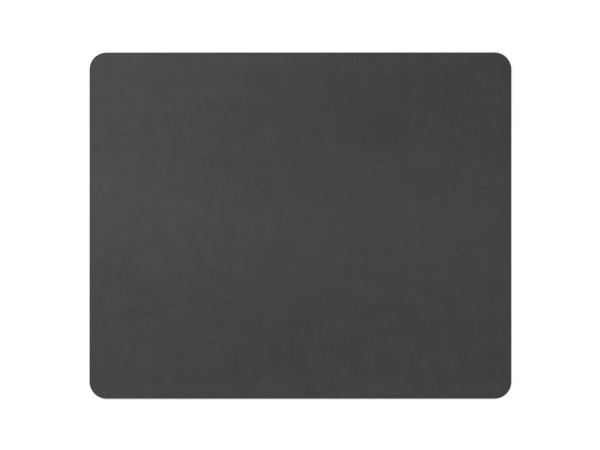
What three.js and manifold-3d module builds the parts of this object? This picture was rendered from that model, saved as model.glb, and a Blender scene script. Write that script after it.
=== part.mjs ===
// Mouse pad: a polyester cloth face bonded by a thin adhesive film to a foam-rubber base.
// The underside of the base is embossed with wavy non-slip ribs. The three layers are laminated as
// larger sheets and then cut together by one steel-rule die with rounded corners.
// Millimetres, +Z up. The origin is at the centre of the underside, in the plane of the desk.

import * as THREE from "three";
import { mergeVertices } from "three/addons/utils/BufferGeometryUtils.js";
import Module from "manifold-3d";

const wasm = await Module();
wasm.setup();

// Outline of the cutting die
const PAD_WIDTH = 220; // along X
const PAD_DEPTH = 180.5; // along Y
const CORNER_RADIUS = 8.9;

// Layers, from the desk up
const RIB_HEIGHT = 0.3;
const FOAM_THICKNESS = 1.2; // above the ribs
const FILM_THICKNESS = 0.1;
const CLOTH_THICKNESS = 0.4;

// Edge that the die leaves: the cloth is pinched and turned down, and the foam wall springs back hollow
const CLOTH_EDGE_THICKNESS = 0.12;
const CLOTH_ROLL_WIDTH = 0.6;
const FOAM_WALL_HOLLOW = 0.12;

// Wavy ribs of the underside, running along X and repeated along Y
const RIB_PITCH = 6.5;
const RIB_CREST_WIDTH = 1.6;
const RIB_ROOT_WIDTH = 2.6;
const WAVE_LENGTH = 36;
const WAVE_AMPLITUDE = 3.2;

// Facets
const CORNER_STEPS = 12;
const STEPS_PER_DIVISION = 2;
const ROLL_STEPS = 4;
const HOLLOW_STEPS = 4;
const STEPS_PER_WAVE = 6;

// Heights of the faces where the layers meet
const FOAM_TOP = RIB_HEIGHT + FOAM_THICKNESS;
const FILM_TOP = FOAM_TOP + FILM_THICKNESS;

// How far the uncut sheet and the die reach past the pad on every side
const TRIM = 5;

// How far the root of a rib is sunk into the foam, so that the two are one body
const RIB_ROOT_DEPTH = FOAM_THICKNESS / 4;

// Materials
const clothBlack = new THREE.MeshStandardMaterial({ color: 0x454545, roughness: 0.9, metalness: 0 });
const filmBlack = new THREE.MeshStandardMaterial({ color: 0x2a2a2a, roughness: 0.5, metalness: 0 });
const rubberBlack = new THREE.MeshStandardMaterial({ color: 0x1c1c1c, roughness: 0.8, metalness: 0 });

// Points of the die's outline, anticlockwise from above, drawn in from the cut by inset.
// An arc gets two steps for each division that getPoints is asked for.
function dieOutline(inset) {
  const radius = CORNER_RADIUS - inset;
  const x = PAD_WIDTH / 2 - CORNER_RADIUS;
  const y = PAD_DEPTH / 2 - CORNER_RADIUS;
  const quarter = Math.PI / 2;
  const outline = new THREE.Shape();
  outline.absarc(x, -y, radius, -quarter, 0);
  outline.absarc(x, y, radius, 0, quarter);
  outline.absarc(-x, y, radius, quarter, 2 * quarter);
  outline.absarc(-x, -y, radius, 2 * quarter, 3 * quarter);
  return outline.getPoints(CORNER_STEPS / STEPS_PER_DIVISION);
}

// Closed solid skinned through outlines of the die. Each level has a height z and an inset from the cut.
function dieCutSolid(levels) {
  const rings = levels.map((level) => dieOutline(level.inset));
  const count = rings[0].length;
  const positions = rings.flatMap((ring, k) => ring.flatMap((point) => [point.x, point.y, levels[k].z]));
  const triangles = [];
  for (let k = 0; k + 1 < rings.length; k++) {
    for (let i = 0; i < count; i++) {
      const low = k * count + i;
      const nextLow = k * count + ((i + 1) % count);
      triangles.push(low, nextLow, nextLow + count, low, nextLow + count, low + count);
    }
  }
  const top = (rings.length - 1) * count;
  for (const [a, b, c] of THREE.ShapeUtils.triangulateShape(rings[0], [])) triangles.push(c, b, a);
  for (const [a, b, c] of THREE.ShapeUtils.triangulateShape(rings.at(-1), [])) {
    triangles.push(top + a, top + b, top + c);
  }
  const geometry = new THREE.BufferGeometry();
  geometry.setAttribute("position", new THREE.Float32BufferAttribute(positions, 3));
  geometry.setIndex(triangles);
  return geometry;
}

// A closed geometry as a solid that can be joined and cut.
function solidOf(geometry) {
  const bare = geometry.clone();
  bare.deleteAttribute("normal");
  bare.deleteAttribute("uv");
  const merged = mergeVertices(bare);
  const vertProperties = new Float32Array(merged.attributes.position.array);
  const triVerts = new Uint32Array(merged.index.array);
  return new wasm.Manifold(new wasm.Mesh({ numProp: 3, vertProperties, triVerts }));
}

// A solid as a geometry again.
function geometryOf(solid) {
  const { vertProperties, triVerts } = solid.getMesh();
  const geometry = new THREE.BufferGeometry();
  geometry.setAttribute("position", new THREE.BufferAttribute(vertProperties, 3));
  geometry.setIndex(new THREE.BufferAttribute(triVerts, 1));
  return geometry;
}

function piece(name, geometry, material) {
  geometry.computeVertexNormals();
  const mesh = new THREE.Mesh(geometry, material);
  mesh.name = name;
  return mesh;
}

// Centre line of one rib, on the underside of the foam sheet.
class RibLine extends THREE.Curve {
  constructor(offset, length) {
    super();
    this.offset = offset;
    this.length = length;
  }

  getPoint(t, target = new THREE.Vector3()) {
    const x = (t - 0.5) * this.length;
    const wave = WAVE_AMPLITUDE * Math.sin((2 * Math.PI * x) / WAVE_LENGTH);
    return target.set(x, this.offset + wave, RIB_HEIGHT);
  }
}

// One rib: a trapezium swept along its wavy line. The section's x points down and its y across the rib.
function rib(offset) {
  const length = PAD_WIDTH + 2 * TRIM;
  const section = new THREE.Shape();
  section.moveTo(-RIB_ROOT_DEPTH, -RIB_ROOT_WIDTH / 2);
  section.lineTo(0, -RIB_ROOT_WIDTH / 2);
  section.lineTo(RIB_HEIGHT, -RIB_CREST_WIDTH / 2);
  section.lineTo(RIB_HEIGHT, RIB_CREST_WIDTH / 2);
  section.lineTo(0, RIB_ROOT_WIDTH / 2);
  section.lineTo(-RIB_ROOT_DEPTH, RIB_ROOT_WIDTH / 2);
  const steps = Math.ceil((STEPS_PER_WAVE * length) / WAVE_LENGTH);
  return new THREE.ExtrudeGeometry(section, { steps, extrudePath: new RibLine(offset, length) });
}

// The embossed foam sheet as it leaves the press, larger than the pad on every side.
function embossedFoam() {
  const sheet = new THREE.BoxGeometry(PAD_WIDTH + 2 * TRIM, PAD_DEPTH + 2 * TRIM, FOAM_THICKNESS);
  sheet.translate(0, 0, RIB_HEIGHT + FOAM_THICKNESS / 2);
  const outermost = Math.ceil((PAD_DEPTH / 2 + WAVE_AMPLITUDE) / RIB_PITCH);
  let foam = solidOf(sheet);
  for (let k = -outermost; k <= outermost; k++) foam = foam.add(solidOf(rib(k * RIB_PITCH)));
  return foam;
}

// The foam base, cut from the embossed sheet. Its wall springs back by a shallow arc between its two faces.
function foamBase() {
  const levels = [{ z: -TRIM, inset: 0 }];
  for (let k = 0; k <= HOLLOW_STEPS; k++) {
    const height = k / HOLLOW_STEPS;
    levels.push({ z: FOAM_TOP * height, inset: FOAM_WALL_HOLLOW * Math.sin(Math.PI * height) });
  }
  levels.push({ z: FOAM_TOP + TRIM, inset: 0 });
  return geometryOf(embossedFoam().intersect(solidOf(dieCutSolid(levels))));
}

// The adhesive film, which is flush with the cut.
function bondingFilm() {
  return dieCutSolid([
    { z: FOAM_TOP, inset: 0 },
    { z: FILM_TOP, inset: 0 },
  ]);
}

// The cloth, whose upper face rolls down to the pinched edge along a quarter of an ellipse.
function clothFace() {
  const levels = [{ z: FILM_TOP, inset: 0 }];
  const drop = CLOTH_THICKNESS - CLOTH_EDGE_THICKNESS;
  for (let k = 0; k <= ROLL_STEPS; k++) {
    const turn = (k / ROLL_STEPS) * (Math.PI / 2);
    const z = FILM_TOP + CLOTH_EDGE_THICKNESS + drop * Math.sin(turn);
    levels.push({ z, inset: CLOTH_ROLL_WIDTH * (1 - Math.cos(turn)) });
  }
  return dieCutSolid(levels);
}

const mousePad = new THREE.Group();
mousePad.add(piece("rubber_base", foamBase(), rubberBlack));
mousePad.add(piece("bonding_film", bondingFilm(), filmBlack));
mousePad.add(piece("cloth_face", clothFace(), clothBlack));

export default mousePad;
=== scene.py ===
import math

import bmesh
import bpy
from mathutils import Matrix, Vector, noise


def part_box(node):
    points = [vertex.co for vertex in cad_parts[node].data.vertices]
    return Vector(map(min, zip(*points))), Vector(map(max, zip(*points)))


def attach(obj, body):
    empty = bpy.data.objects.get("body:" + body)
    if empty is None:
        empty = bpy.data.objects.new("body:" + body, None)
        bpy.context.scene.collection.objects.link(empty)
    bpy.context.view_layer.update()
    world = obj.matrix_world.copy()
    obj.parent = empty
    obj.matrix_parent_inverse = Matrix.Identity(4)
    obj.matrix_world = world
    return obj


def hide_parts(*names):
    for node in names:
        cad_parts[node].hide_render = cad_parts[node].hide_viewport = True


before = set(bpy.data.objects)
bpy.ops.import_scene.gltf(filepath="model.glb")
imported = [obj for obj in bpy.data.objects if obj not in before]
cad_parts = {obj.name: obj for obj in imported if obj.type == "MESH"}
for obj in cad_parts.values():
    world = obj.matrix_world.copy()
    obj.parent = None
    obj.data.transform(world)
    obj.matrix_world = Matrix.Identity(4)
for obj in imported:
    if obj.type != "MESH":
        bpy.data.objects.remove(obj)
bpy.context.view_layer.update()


# Foam-rubber base.
# A sheet of black sponge rubber whose wavy non-slip ribs are pressed into the underside while it cures.
# A steel-rule die cuts it together with the layers above, and the cut wall springs back slightly hollow.
MM = 0.001
QUARTER_TURN = math.pi / 2
CORNER_RADIUS = 8.9 * MM
CORNER_STEPS = 20
RIB_PITCH = 6.5 * MM
RIB_HEIGHT = 0.3 * MM
RIB_CREST_WIDTH = 1.6 * MM
RIB_ROOT_WIDTH = 2.6 * MM
RIB_ROUNDING = 0.15 * MM
RIB_FLANK_STEPS = 3
WAVE_LENGTH = 36 * MM
WAVE_AMPLITUDE = 3.2 * MM
COLUMN_STEP = 0.8 * MM
WALL_HOLLOW = 0.135 * MM
WALL_STEPS = 6
WALL_WANDER = 0.03 * MM
WALL_WANDER_SIZE = (4 * MM, 4 * MM, 1.3 * MM)
CLEAR_OF_WALL = 0.2 * MM
SHARP_EDGE = math.radians(40)

# Textures are baked through this map. A hidden glued side and each strip of wall get a share of its height.
BAKE_MAP = "OFBake"
BAKE_MARGIN = 1 * MM
GLUED_STRIP = 0.02
WALL_STRIP = 0.025
WALL_STRIPS = 8
WALL_MARGIN = 0.15 * MM

# Tones are linear greys, and a pair runs from the least to the most of what it depends on.
SKIN_TONES = (0.007, 0.017)
SKIN_PATCH_SIZE = 14 * MM
SKIN_PATCH_DETAIL = 4.0
SKIN_ROUGHNESS = (0.72, 0.92)
SKIN_GRAIN_SIZE = 0.35 * MM
SKIN_GRAIN_DETAIL = 3.0
SKIN_GRAIN_RELIEF = 0.035 * MM
CUT_TONES = (0.015, 0.025)
# Skin turns into cut face as the upward share of the normal falls from the first value to the second.
CUT_STEEPNESS = (0.9, 0.3)
CELL_SPACINGS = (0.2 * MM, 0.09 * MM)
# A cell's radius, from the smallest to the largest, and its soft rim, as shares of the spacing.
CELL_RADII = (0.3, 0.6)
CELL_RIM = 0.15
CELL_RELIEF = 0.05 * MM
# Share of the tone left in an open cell, which is painted darker as painted shade in its hollow.
CELL_PAINTED_SHADE = 0.15
SMALL_CELL_DEPTH = 0.7
RUBBED_HEIGHT = 0.1 * MM
RUBBED_TONE = 0.02
RUBBED_POLISH = 0.12
RUBBER_SHINE = 0.3

foam_low, foam_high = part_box("rubber_base")
PAD_WIDTH = foam_high.x - foam_low.x
PAD_DEPTH = foam_high.y - foam_low.y
FOAM_TOP = foam_high.z
HALF_WIDTH = PAD_WIDTH / 2
HALF_DEPTH = PAD_DEPTH / 2
STRAIGHT_X = HALF_WIDTH - CORNER_RADIUS
STRAIGHT_Y = HALF_DEPTH - CORNER_RADIUS
WAVE_NUMBER = 2 * math.pi / WAVE_LENGTH
FLANK_START = RIB_CREST_WIDTH / 2 - RIB_ROUNDING
FLANK_END = RIB_ROOT_WIDTH / 2 + RIB_ROUNDING


def even_places(start, end, step):
    """Places from start to end, both included, about a step apart."""
    count = round((end - start) / step)
    return [start + (end - start) * k / count for k in range(count + 1)]


def die_half_depth(x):
    """Half of the pad's depth along Y at x, inside the rounded corners."""
    into_corner = max(0.0, abs(x) - STRAIGHT_X)
    return STRAIGHT_Y + math.sqrt(max(0.0, CORNER_RADIUS**2 - into_corner**2))


def die_outward(x, y):
    """Direction out of the pad, in plan, at a point of its outline."""
    inner_x = min(max(x, -STRAIGHT_X), STRAIGHT_X)
    inner_y = min(max(y, -STRAIGHT_Y), STRAIGHT_Y)
    return Vector((x - inner_x, y - inner_y, 0)).normalized()


def rib_wave(x):
    """How far the ribs swing along Y at x, and how much their slant there widens them along Y."""
    swing = WAVE_AMPLITUDE * math.sin(WAVE_NUMBER * x)
    slope = WAVE_AMPLITUDE * WAVE_NUMBER * math.cos(WAVE_NUMBER * x)
    return swing, math.hypot(1, slope)


def underside_height(x, y):
    """Height of the foam's underside over the desk: 0 on the crest of a rib."""
    swing, widening = rib_wave(x)
    across = y - swing
    across = abs(across - RIB_PITCH * round(across / RIB_PITCH)) / widening
    share = min(max((across - FLANK_START) / (FLANK_END - FLANK_START), 0.0), 1.0)
    return RIB_HEIGHT * share * share * (3 - 2 * share)


def rib_rows():
    """Rows of the underside as pairs: a line parallel to the ribs, and a distance square to that line."""
    flank = even_places(FLANK_START, FLANK_END, (FLANK_END - FLANK_START) / RIB_FLANK_STEPS)
    section = [-distance for distance in reversed(flank)] + [0.0] + flank
    outermost = math.ceil((HALF_DEPTH + WAVE_AMPLITUDE) / RIB_PITCH)
    rows = []
    for k in range(-outermost, outermost + 1):
        rows.extend((k * RIB_PITCH, distance) for distance in section)
        rows.append((k * RIB_PITCH + RIB_PITCH / 2, 0.0))
    return rows


def new_face(sheet, corners):
    """Adds a face on those corners without the repeated ones, unless fewer than three are left."""
    corners = list(dict.fromkeys(corners))
    if len(corners) > 2:
        sheet.faces.new(corners)


def underside_faces(sheet):
    """Columns of points that follow the ribs and end on the outline. Returns the rim, anticlockwise."""
    turns = [QUARTER_TURN * k / CORNER_STEPS for k in range(1, CORNER_STEPS + 1)]
    corner = [STRAIGHT_X + CORNER_RADIUS * math.sin(turn) for turn in turns]
    places = [-x for x in reversed(corner)] + even_places(-STRAIGHT_X, STRAIGHT_X, COLUMN_STEP) + corner
    rows = rib_rows()
    columns = []
    for x in places:
        edge = die_half_depth(x)
        swing, widening = rib_wave(x)
        front = sheet.verts.new((x, -edge, underside_height(x, -edge)))
        back = sheet.verts.new((x, edge, underside_height(x, edge)))
        column = []
        for line, distance in rows:
            y = line + swing + distance * widening
            if y < CLEAR_OF_WALL - edge:
                column.append(front)
            elif y > edge - CLEAR_OF_WALL:
                column.append(back)
            else:
                column.append(sheet.verts.new((x, y, underside_height(x, y))))
        columns.append(column)
    for column, following in zip(columns, columns[1:]):
        for j in range(len(rows) - 1):
            new_face(sheet, (column[j], column[j + 1], following[j + 1], following[j]))
    right_side = list(dict.fromkeys(columns[-1]))
    left_side = list(dict.fromkeys(columns[0]))
    rim = [column[0] for column in columns[:-1]] + right_side[:-1]
    return rim + [column[-1] for column in reversed(columns[1:])] + left_side[:0:-1]


def skin_between(sheet, lower, upper):
    """Faces between two closed loops of as many points."""
    for k in range(len(lower)):
        following = (k + 1) % len(lower)
        new_face(sheet, (lower[k], lower[following], upper[following], upper[k]))


def wall_inset(plan, z):
    """How far the cut wall lies inside the die's outline: hollow between its faces, and uneven."""
    spring_back = math.sin(math.pi * z / FOAM_TOP)
    along_x, along_y, along_z = WALL_WANDER_SIZE
    uneven = noise.noise(Vector((plan.x / along_x, plan.y / along_y, z / along_z)))
    return (WALL_HOLLOW + WALL_WANDER * uneven) * spring_back


def flat_on_map(face, layer, places, low, high):
    """Lays a face in plan on the map, between two heights of the map, by where its corners lie."""
    for corner in face.loops:
        place = places[corner.vert]
        across = (1 + place.x / (HALF_WIDTH + BAKE_MARGIN)) / 2
        along = (1 + place.y / (HALF_DEPTH + BAKE_MARGIN)) / 2
        corner[layer].uv = (across, low + (high - low) * along)


def wall_on_map(face, layer):
    """Lays a face of the wall upright on the map, in a strip for its half of its side."""
    centre = face.calc_center_median()
    outward = die_outward(centre.x, centre.y)
    axis = int(abs(outward.x) > abs(outward.y))
    far_side = outward[1 - axis] > 0
    far_half = centre[axis] > 0
    # Two sides lie across each axis, and each side has two halves.
    side = 2 * axis + far_side
    low = GLUED_STRIP + WALL_STRIP * (2 * side + far_half)
    start = 0.0 if far_half else -HALF_WIDTH
    for corner in face.loops:
        place = corner.vert.co
        across = (place[axis] - start + BAKE_MARGIN) / (HALF_WIDTH + 2 * BAKE_MARGIN)
        up = (place.z + WALL_MARGIN) / (FOAM_TOP + 2 * WALL_MARGIN)
        corner[layer].uv = (across, low + WALL_STRIP * up)


def map_foam(sheet, underside, glued_side):
    """The foam on its map: the underside in plan, and strips for the glued side and the wall."""
    layer = sheet.loops.layers.uv.new(BAKE_MAP)
    places = {vertex: vertex.co for vertex in sheet.verts}
    strips_end = GLUED_STRIP + WALL_STRIPS * WALL_STRIP
    for face in sheet.faces:
        if face in underside:
            flat_on_map(face, layer, places, strips_end, 1.0)
        elif face == glued_side:
            flat_on_map(face, layer, places, 0.0, GLUED_STRIP)
        else:
            wall_on_map(face, layer)


def foam_mesh():
    """The base: its underside, the cut wall in rings that rise from the rim, and one flat face on top."""
    sheet = bmesh.new()
    rim = underside_faces(sheet)
    underside = set(sheet.faces)
    feet = []
    for vertex in rim:
        plan = Vector((vertex.co.x, vertex.co.y, 0))
        outward = die_outward(plan.x, plan.y)
        feet.append((plan, outward, vertex.co.z))
        vertex.co -= outward * wall_inset(plan, vertex.co.z)
    below = rim
    for level in range(1, WALL_STEPS + 1):
        above = []
        for plan, outward, foot in feet:
            z = foot + (FOAM_TOP - foot) * level / WALL_STEPS
            place = plan - outward * wall_inset(plan, z)
            above.append(sheet.verts.new((place.x, place.y, z)))
        skin_between(sheet, below, above)
        below = above
    glued_side = sheet.faces.new(below)
    map_foam(sheet, underside, glued_side)
    return sheet


def new_piece(name, sheet):
    """The finished mesh as an object of that name, smooth but for its sharp edges."""
    bmesh.ops.recalc_face_normals(sheet, faces=sheet.faces)
    mesh = bpy.data.meshes.new(name)
    sheet.to_mesh(mesh)
    sheet.free()
    mesh.shade_smooth()
    mesh.set_sharp_from_angle(angle=SHARP_EDGE)
    piece = bpy.data.objects.new(name, mesh)
    bpy.context.scene.collection.objects.link(piece)
    return piece


class Shade:
    """A shader socket. Arithmetic on it adds Math nodes to its tree, and node() adds any other node."""

    def __init__(self, tree, socket=None):
        self.tree = tree
        self.socket = socket

    def node(self, kind, settings=None, *ordered, **named):
        """Adds a node: its settings first, then its sockets in order or by name, as values or as links."""
        made = self.tree.nodes.new("ShaderNode" + kind)
        for name, value in (settings or {}).items():
            setattr(made, name, value)
        inputs = [socket for socket in made.inputs if socket.enabled]
        # Of sockets that share a name, the first one counts.
        by_name = {socket.name: socket for socket in reversed(inputs)}
        given = list(zip(inputs, ordered))
        given += [(by_name[name.replace("_", " ")], value) for name, value in named.items()]
        for socket, value in given:
            if isinstance(value, Shade):
                self.tree.links.new(value.socket, socket)
            else:
                socket.default_value = value
        outputs = [socket for socket in made.outputs if socket.enabled]
        return Shade(self.tree, outputs[0] if outputs else None)

    def output(self, name):
        """Another output of the node that this socket belongs to."""
        return Shade(self.tree, self.socket.node.outputs[name])

    def math(self, operation, *others):
        """A Math node whose first value is this one."""
        return self.node("Math", {"operation": operation}, self, *others)

    def between(self, low, high):
        """A value that goes from low, where this one is 0, to high, where it is 1."""
        return low + (high - low) * self

    def grey(self):
        """This value as a colour."""
        return self.node("CombineColor", None, self, self, self)

    def __add__(self, other):
        return self.math("ADD", other)

    __radd__ = __add__

    def __sub__(self, other):
        return self.math("SUBTRACT", other)

    def __rsub__(self, other):
        return self.node("Math", {"operation": "SUBTRACT"}, other, self)

    def __mul__(self, other):
        return self.math("MULTIPLY", other)

    __rmul__ = __mul__


def new_finish(name):
    """A material of that name with an empty node tree."""
    material = bpy.data.materials.new(name)
    material.use_nodes = True
    material.node_tree.nodes.clear()
    return material, Shade(material.node_tree)


def cloudy(shade, place, size, detail=2.0):
    """Noise from 0 to 1 with grains of about that size."""
    return shade.node("TexNoise", None, Vector=place, Scale=1 / size, Detail=detail)


def cut_face(shade):
    """1 where the surface stands upright, as the die cut it, and 0 where it lies flat."""
    upward = shade.node("SeparateXYZ", None, shade.node("NewGeometry").output("Normal")).output("Z")
    return shade.node("MapRange", None, upward.math("ABSOLUTE"), *CUT_STEEPNESS, 0.0, 1.0)


def cut_cells(shade, place, spacing):
    """1 in the foam cells that the die has cut open, about that far apart, and 0 between them."""
    cell = shade.node("TexVoronoi", None, Vector=place, Scale=1 / spacing)
    chance = shade.node("SeparateColor", None, cell.output("Color")).output("Red")
    rim = chance.between(*CELL_RADII)
    smooth = {"interpolation_type": "SMOOTHSTEP"}
    return shade.node("MapRange", smooth, cell, rim, rim - CELL_RIM, 0.0, 1.0)


def foam_finish():
    """Black sponge rubber: a pressed grain on its skin, open cells on the cut wall with painted shade in
    them, grey rubbed crests.
    """
    material, shade = new_finish("sponge_rubber")
    place = shade.node("TexCoord").output("Object")
    wall = cut_face(shade)
    large_cells, small_cells = [cut_cells(shade, place, spacing) for spacing in CELL_SPACINGS]
    cells = wall * large_cells.math("MAXIMUM", SMALL_CELL_DEPTH * small_cells)
    grain = cloudy(shade, place, SKIN_GRAIN_SIZE, SKIN_GRAIN_DETAIL)
    patches = cloudy(shade, place, SKIN_PATCH_SIZE, SKIN_PATCH_DETAIL)
    height = shade.node("SeparateXYZ", None, place).output("Z")
    rubbed = shade.node("MapRange", None, height, RUBBED_HEIGHT, 0.0, 0.0, 1.0)
    tone = wall.between(patches.between(*SKIN_TONES), patches.between(*CUT_TONES))
    # Painted shade: the open cells of the cut wall are painted darker.
    tone = tone * cells.between(1, CELL_PAINTED_SHADE) + RUBBED_TONE * rubbed * grain
    relief = SKIN_GRAIN_RELIEF * grain - CELL_RELIEF * cells
    rubber = shade.node(
        "BsdfPrincipled",
        None,
        Base_Color=tone.grey(),
        Roughness=grain.between(*SKIN_ROUGHNESS) - RUBBED_POLISH * rubbed,
        Specular_IOR_Level=RUBBER_SHINE,
        Normal=shade.node("Bump", None, Strength=1.0, Distance=1.0, Height=relief),
    )
    shade.node("OutputMaterial", None, Surface=rubber)
    return material


foam = new_piece("foam_base", foam_mesh())
foam.data.materials.append(foam_finish())
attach(foam, "root")
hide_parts("rubber_base")


# Bonding film.
# A thin black hot-melt adhesive that joins the cloth to the foam under a heated roller.
# The die cuts it flush, so it shows only as a fine line round the edge, swollen by the cut's pressure.
FILM_STEP = 1.5 * MM
FILM_SWELL = 0.015 * MM
PLAN_CORNERS = ((1, -1), (1, 1), (-1, 1), (-1, -1))

FILM_TONES = (0.009, 0.02)
FILM_ROUGHNESS = (0.35, 0.65)
FILM_CLOUD_SIZE = 0.6 * MM
FILM_CLOUD_DETAIL = 3.0
FILM_RELIEF = 0.012 * MM

film_low, film_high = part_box("bonding_film")
FILM_TOP = film_high.z


def die_loop(step):
    """Points of the outline, anticlockwise, as pairs of a point and the direction out of the pad."""
    points = []
    for turn, (side_x, side_y) in enumerate(PLAN_CORNERS):
        centre = Vector((side_x * STRAIGHT_X, side_y * STRAIGHT_Y, 0))
        for k in range(CORNER_STEPS + 1):
            angle = QUARTER_TURN * (turn - 1 + k / CORNER_STEPS)
            outward = Vector((math.cos(angle), math.sin(angle), 0))
            points.append((centre + CORNER_RADIUS * outward, outward))
        start = points[-1][0]
        along = Vector((-outward.y, outward.x, 0))
        length = 2 * (STRAIGHT_Y if turn % 2 == 0 else STRAIGHT_X)
        points.extend((start + along * place, outward) for place in even_places(0, length, step)[1:-1])
    return points


def film_mesh():
    """The film: one band round the cut edge between two flat faces."""
    sheet = bmesh.new()
    loop = die_loop(FILM_STEP)
    middle = (film_low.z + FILM_TOP) / 2
    rings = []
    for z, swell in ((film_low.z, 0.0), (middle, FILM_SWELL), (FILM_TOP, 0.0)):
        lift = Vector((0, 0, z))
        rings.append([sheet.verts.new(point + outward * swell + lift) for point, outward in loop])
    skin_between(sheet, rings[0], rings[1])
    skin_between(sheet, rings[1], rings[2])
    sheet.faces.new(rings[0][::-1])
    sheet.faces.new(rings[2])
    return sheet


def film_finish():
    """Black adhesive with a dull shine, clouded where it has drawn into the foam's cells."""
    material, shade = new_finish("hot_melt")
    place = shade.node("TexCoord").output("Object")
    clouds = cloudy(shade, place, FILM_CLOUD_SIZE, FILM_CLOUD_DETAIL)
    glue = shade.node(
        "BsdfPrincipled",
        None,
        Base_Color=clouds.between(*FILM_TONES).grey(),
        Roughness=clouds.between(*FILM_ROUGHNESS),
        Normal=shade.node("Bump", None, Strength=1.0, Distance=1.0, Height=FILM_RELIEF * clouds),
    )
    shade.node("OutputMaterial", None, Surface=glue)
    return material


film = new_piece("adhesive_film", film_mesh())
film.data.materials.append(film_finish())
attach(film, "root")
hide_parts("bonding_film")


# Cloth face.
# A charcoal polyester cloth in a fine plain weave, bonded flat to the foam for the mouse to slide on.
# The die pinches it at the edge, where it rolls down to a tenth of a millimetre.
CLOTH_EDGE_THICKNESS = 0.12 * MM
CLOTH_ROLL_WIDTH = 0.6 * MM
CLOTH_ROLL_STEPS = 8
CLOTH_STEP = 2.0 * MM
CLOTH_SWELL = 0.02 * MM
CLOTH_SWELL_SIZE = 16 * MM
WARP_PITCH = 0.38 * MM
WEFT_PITCH = 0.42 * MM
YARN_DRIFT = 0.25 * MM
YARN_DRIFT_SIZE = 5 * MM
YARN_RELIEF = 0.11 * MM
YARN_DETAIL = 1.0
FIBRE_RELIEF = 0.028 * MM
FIBRE_WIDTH = 0.03 * MM
FIBRE_LENGTH = 0.5 * MM
SLUB_RELIEF = 0.03 * MM
SLUB_WIDTH = 1.4 * MM
SLUB_LENGTH = 6 * MM
# Only the ends of the noise make a yarn thick or thin, from the first value on and fully at the second.
THICK_PLACE = (0.65, 0.79)
THIN_PLACE = (0.35, 0.21)
NAP_WIDTH = 7 * MM
NAP_LENGTH = 28 * MM
NAP_DETAIL = 4.0
BROAD_BAND_SIZE = (120 * MM, 50 * MM)
BROAD_BAND_DETAIL = 2.0
# The part of the noise from which this pad takes its broad faint bands, lighter and darker.
BROAD_BAND_PLACE = (-1256 * MM, 1272 * MM, 0.0)
# The cloth is painted lighter along the two long sides, as painted sheen: from the first depth on, and
# fully at the second.
LONG_SIDE_SHEEN_DEPTHS = (12 * MM, 5 * MM)

# From the gaps between the yarns, painted darker as painted shade, to the crowns of the yarns.
YARN_TONES_SHADED_IN_GAPS = (0.038, 0.0573)
YARN_ROUGHNESS = (0.95, 0.8)
BROAD_BAND_FADE = 0.32
LONG_SIDE_PAINTED_SHEEN = 0.07
NAP_FADE = 0.24
SLUB_FADE = 0.34
FIBRE_FADE = 0.4
NOISE_MIDDLE = 0.5
YARN_SHINE = 0.2
SHEEN_WEIGHT = 0.12
SHEEN_ROUGHNESS = 0.45
SHEEN_TONE = 0.6

cloth_low, cloth_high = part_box("cloth_face")
CLOTH_TOP = cloth_high.z


def cloth_lift(x, y):
    """How far the foam's uneven thickness lifts or sinks the cloth, fading out at the rolled edge."""
    depth = min(HALF_WIDTH - abs(x), HALF_DEPTH - abs(y))
    fade = min(1.0, max(0.0, depth - CLOTH_ROLL_WIDTH) / CORNER_RADIUS)
    return CLOTH_SWELL * fade * noise.noise(Vector((x, y, 0)) / CLOTH_SWELL_SIZE)


def cloth_levels():
    """Height and inset from the cut of each ring, from the glued side up the rolled edge and inwards."""
    levels = [(cloth_low.z, 0.0)]
    drop = CLOTH_TOP - cloth_low.z - CLOTH_EDGE_THICKNESS
    for k in range(CLOTH_ROLL_STEPS + 1):
        turn = QUARTER_TURN * k / CLOTH_ROLL_STEPS
        levels.append((CLOTH_TOP - drop * (1 - math.sin(turn)), CLOTH_ROLL_WIDTH * (1 - math.cos(turn))))
    flat_rings = even_places(CLOTH_ROLL_WIDTH, CORNER_RADIUS, CLOTH_STEP)[1:-1]
    return levels + [(CLOTH_TOP, inset) for inset in flat_rings]


def cloth_rings(sheet, laid_flat):
    """Rings of points that follow the outline. Notes where each lies once the rolled edge is laid flat."""
    loop = die_loop(CLOTH_STEP)
    rings = []
    for z, inset in cloth_levels():
        ring = []
        for point, outward in loop:
            plan = point - outward * inset
            vertex = sheet.verts.new((plan.x, plan.y, z + cloth_lift(plan.x, plan.y)))
            laid_flat[vertex] = plan + outward * (CLOTH_TOP - z)
            ring.append(vertex)
        rings.append(ring)
    return rings


def cloth_grid(sheet, laid_flat):
    """The grid of squares inside the rings. Returns its rim, with its corners repeated to match a ring."""
    columns = even_places(-STRAIGHT_X, STRAIGHT_X, CLOTH_STEP)
    rows = even_places(-STRAIGHT_Y, STRAIGHT_Y, CLOTH_STEP)
    grid = [[sheet.verts.new((x, y, CLOTH_TOP + cloth_lift(x, y))) for y in rows] for x in columns]
    for column, following in zip(grid, grid[1:]):
        for j in range(len(rows) - 1):
            new_face(sheet, (column[j], following[j], following[j + 1], column[j + 1]))
    laid_flat.update((vertex, vertex.co) for column in grid for vertex in column)
    right_side = grid[-1]
    back_side = [column[-1] for column in reversed(grid)]
    left_side = grid[0][::-1]
    front_side = [column[0] for column in grid]
    rim = []
    for side in (right_side, back_side, left_side, front_side):
        rim += [side[0]] * CORNER_STEPS + side[:-1]
    return rim


def map_cloth(sheet, laid_flat, glued_side):
    """The cloth on its map: laid flat with its rolled edge, and a strip for the glued side."""
    layer = sheet.loops.layers.uv.new(BAKE_MAP)
    for face in sheet.faces:
        low, high = (0.0, GLUED_STRIP) if face == glued_side else (GLUED_STRIP, 1.0)
        flat_on_map(face, layer, laid_flat, low, high)


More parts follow.
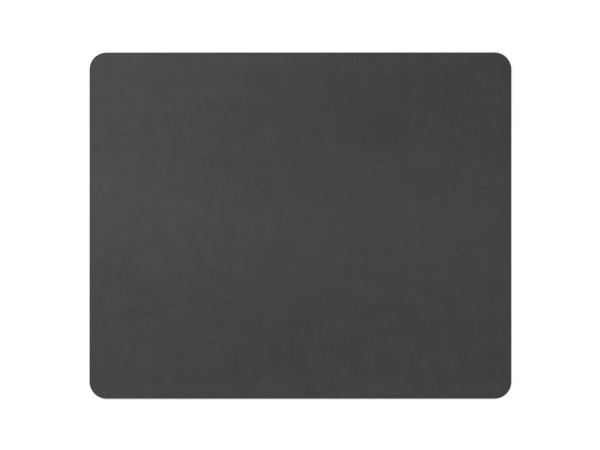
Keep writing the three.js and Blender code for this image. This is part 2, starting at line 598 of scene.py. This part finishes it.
def cloth_mesh():
    """The cloth: rings up the rolled edge and inwards, a grid inside them, and the flat glued side."""
    sheet = bmesh.new()
    laid_flat = {}
    rings = cloth_rings(sheet, laid_flat)
    rings.append(cloth_grid(sheet, laid_flat))
    for lower, upper in zip(rings, rings[1:]):
        skin_between(sheet, lower, upper)
    glued_side = sheet.faces.new(rings[0][::-1])
    map_cloth(sheet, laid_flat, glued_side)
    return sheet


def yarn_height(across, along):
    """Height of one set of yarns: round across each yarn, rising over and under the others along it."""
    aside = 2 * across.math("FRACT") - 1
    rounded = (1 - aside * aside).math("SQRT")
    crossing = (math.pi * (along + across.math("FLOOR"))).math("SINE")
    return 0.5 * (rounded + crossing)


def drawn_out(shade, place, grain_size, detail=YARN_DETAIL):
    """Noise whose grains have that size along X and Y, for streaks that follow the yarns or the press."""
    stretched = shade.node("VectorMath", {"operation": "DIVIDE"}, place, (*grain_size, 1.0))
    return cloudy(shade, stretched, 1.0, detail)


def plain_weave(shade, woven):
    """Height of the weave, and the slubs, from thin at -1 to thick at 1, and fibres of the yarn on top."""
    axes = shade.node("SeparateXYZ", None, woven)
    warp_count = axes.output("X") * (1 / WARP_PITCH)
    weft_count = axes.output("Y") * (1 / WEFT_PITCH)
    warp = yarn_height(warp_count, weft_count)
    weft = yarn_height(weft_count, warp_count + 1)
    warp_on_top = warp.math("GREATER_THAN", weft)
    warp_slubs = drawn_out(shade, woven, (SLUB_WIDTH, SLUB_LENGTH))
    weft_slubs = drawn_out(shade, woven, (SLUB_LENGTH, SLUB_WIDTH))
    warp_fibres = drawn_out(shade, woven, (FIBRE_WIDTH, FIBRE_LENGTH))
    weft_fibres = drawn_out(shade, woven, (FIBRE_LENGTH, FIBRE_WIDTH))
    thickness = warp_on_top.between(weft_slubs, warp_slubs)
    thick = shade.node("MapRange", None, thickness, *THICK_PLACE, 0.0, 1.0)
    thin = shade.node("MapRange", None, thickness, *THIN_PLACE, 0.0, 1.0)
    fibres = warp_on_top.between(weft_fibres, warp_fibres)
    return warp.math("MAXIMUM", weft), thick - thin, fibres


def cloth_tone(shade, place, weave, slubs, fibres):
    """Grey of the cloth: darker between the yarns as painted shade, lighter along the long sides as painted
    sheen, and shifted by slubs, fibres, nap and broad bands.
    """
    warp_nap = drawn_out(shade, place, (NAP_WIDTH, NAP_LENGTH), NAP_DETAIL)
    weft_nap = drawn_out(shade, place, (NAP_LENGTH, NAP_WIDTH), NAP_DETAIL)
    # Broad faint bands, lighter and darker across the cloth.
    pressed = shade.node("VectorMath", {"operation": "ADD"}, place, BROAD_BAND_PLACE)
    broad_bands = drawn_out(shade, pressed, BROAD_BAND_SIZE, BROAD_BAND_DETAIL)
    # Painted sheen: the cloth is lighter towards the two long sides.
    from_long_side = HALF_DEPTH - shade.node("SeparateXYZ", None, place).output("Y").math("ABSOLUTE")
    long_side_sheen = shade.node("MapRange", None, from_long_side, *LONG_SIDE_SHEEN_DEPTHS, 0.0, 1.0)
    # Painted shade between the yarns, and painted sheen along the long sides.
    tone = weave.between(*YARN_TONES_SHADED_IN_GAPS) * (1 + SLUB_FADE * slubs) * (1 + LONG_SIDE_PAINTED_SHEEN * long_side_sheen)
    fades = ((broad_bands, BROAD_BAND_FADE), (warp_nap, NAP_FADE), (weft_nap, NAP_FADE), (fibres, FIBRE_FADE))
    for cause, fade in fades:
        tone = tone * (1 + fade * (cause - NOISE_MIDDLE))
    return tone


def cloth_finish():
    """Charcoal polyester: round yarns over and under each other, with a soft sheen."""
    material, shade = new_finish("charcoal_cloth")
    place = shade.node("TexCoord").output("Object")
    drift = cloudy(shade, place, YARN_DRIFT_SIZE).output("Color")
    sway = (YARN_DRIFT, YARN_DRIFT, 0.0)
    woven = shade.node("VectorMath", {"operation": "MULTIPLY_ADD"}, drift, sway, place)
    weave, slubs, fibres = plain_weave(shade, woven)
    fibre_ends = cloudy(shade, place, FIBRE_WIDTH)
    fibres = cut_face(shade).between(fibres, fibre_ends)
    tone = cloth_tone(shade, place, weave, slubs, fibres)
    relief = YARN_RELIEF * weave + FIBRE_RELIEF * fibres + SLUB_RELIEF * slubs
    yarn = shade.node(
        "BsdfPrincipled",
        None,
        Base_Color=tone.grey(),
        Roughness=weave.between(*YARN_ROUGHNESS),
        Specular_IOR_Level=YARN_SHINE,
        Sheen_Weight=SHEEN_WEIGHT,
        Sheen_Roughness=SHEEN_ROUGHNESS,
        Sheen_Tint=(SHEEN_TONE, SHEEN_TONE, SHEEN_TONE, 1.0),
        Normal=shade.node("Bump", None, Strength=1.0, Distance=1.0, Height=relief),
    )
    shade.node("OutputMaterial", None, Surface=yarn)
    return material


cloth = new_piece("cloth_top", cloth_mesh())
cloth.data.materials.append(cloth_finish())
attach(cloth, "root")
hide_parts("cloth_face")


# Studio floor.
# A plain white sweep under the pad. It shows as white, but still takes the pad's soft shadow.
FLOOR_HALF = 4000 * MM
FLOOR_TONE = 0.8
FLOOR_GLOW_BESIDE_PAD = 0.53
FLOOR_GLOW_FAR = 0.68
FLOOR_FAR = 200 * MM


def seen_directly(shade):
    """1 for rays that carry the background to the picture: from the camera, off gloss or through glass."""
    ray = shade.node("LightPath")
    seen = ray.output("Is Camera Ray").math("MAXIMUM", ray.output("Is Glossy Ray"))
    return seen.math("MAXIMUM", ray.output("Is Transmission Ray"))


def floor_mesh():
    """One flat face, far wider than the view."""
    sheet = bmesh.new()
    sheet.faces.new([sheet.verts.new((FLOOR_HALF * x, FLOOR_HALF * y, 0)) for x, y in PLAN_CORNERS])
    return sheet


def floor_finish():
    """White paint that keeps the pad's shadow, and glows to full white where the pad doesn't cover it."""
    material, shade = new_finish("white_floor")
    axes = shade.node("SeparateXYZ", None, shade.node("TexCoord").output("Object"))
    past_x = (axes.output("X").math("ABSOLUTE") - STRAIGHT_X).math("MAXIMUM", 0.0)
    past_y = (axes.output("Y").math("ABSOLUTE") - STRAIGHT_Y).math("MAXIMUM", 0.0)
    beyond = (past_x * past_x + past_y * past_y).math("SQRT") - CORNER_RADIUS
    level = shade.node("MapRange", None, beyond, 0.0, FLOOR_FAR, FLOOR_GLOW_BESIDE_PAD, FLOOR_GLOW_FAR)
    glow_tone = level * beyond.math("GREATER_THAN", 0.0) * seen_directly(shade)
    matt = shade.node("BsdfDiffuse", None, Color=(FLOOR_TONE, FLOOR_TONE, FLOOR_TONE, 1.0))
    glow = shade.node("Emission", None, Color=glow_tone.grey(), Strength=1.0)
    both = shade.node("AddShader", None, matt, glow)
    shade.node("OutputMaterial", None, Surface=both)
    return material


floor = new_piece("floor", floor_mesh())
floor.data.materials.append(floor_finish())


# Studio light.
# Even light from a white room, and two soft boxes at the sides as on a copy stand, the left one brighter.
ROOM_LIGHT = 0.42
KEY_PLACE = (-205 * MM, 62 * MM, 210 * MM)
KEY_POWER = 0.52
FILL_PLACE = (155 * MM, -19 * MM, 200 * MM)
FILL_POWER = 0.16
BOX_SIZE = 120 * MM
WHITE = (1.0, 1.0, 1.0, 1.0)


def soft_box(name, place, power):
    """A square lamp that faces the middle of the pad."""
    lamp = bpy.data.lights.new(name, "AREA")
    lamp.shape = "SQUARE"
    lamp.size = BOX_SIZE
    lamp.energy = power
    box = bpy.data.objects.new(name, lamp)
    box.location = place
    box.rotation_euler = (-Vector(place)).to_track_quat("-Z", "Y").to_euler()
    box.visible_camera = False
    bpy.context.scene.collection.objects.link(box)


def white_room():
    """A world that shows as white, but lights the pad only at the room's level."""
    room = bpy.data.worlds.new("white_room")
    room.use_nodes = True
    room.node_tree.nodes.clear()
    shade = Shade(room.node_tree)
    light = shade.node("Background", None, Color=WHITE, Strength=ROOM_LIGHT)
    walls = shade.node("Background", None, Color=WHITE, Strength=1.0)
    either = shade.node("MixShader", None, seen_directly(shade), light, walls)
    shade.node("OutputWorld", None, Surface=either)
    return room


soft_box("key_light", KEY_PLACE, KEY_POWER)
soft_box("fill_light", FILL_PLACE, FILL_POWER)
scene = bpy.context.scene
scene.world = white_room()
scene.view_settings.view_transform = "Standard"


# Camera.
# It looks straight down, with the pad's outline where it lies in the photograph of 600 by 450 pixels.
PHOTO_WIDTH = 600
PHOTO_HEIGHT = 450
PAD_WIDTH_IN_PHOTO = 422.1
PAD_CENTRE_IN_PHOTO = (300.43, 225.6)
LENS = 85
SENSOR = 36

pixel = PAD_WIDTH / PAD_WIDTH_IN_PHOTO
outline_height = FILM_TOP + CLOTH_EDGE_THICKNESS
optics = bpy.data.cameras.new("camera")
optics.lens = LENS
optics.sensor_width = SENSOR
camera = bpy.data.objects.new("camera", optics)
camera.location = (
    (PHOTO_WIDTH / 2 - PAD_CENTRE_IN_PHOTO[0]) * pixel,
    (PAD_CENTRE_IN_PHOTO[1] - PHOTO_HEIGHT / 2) * pixel,
    outline_height + PHOTO_WIDTH * pixel * LENS / SENSOR,
)
scene.collection.objects.link(camera)
scene.camera = camera
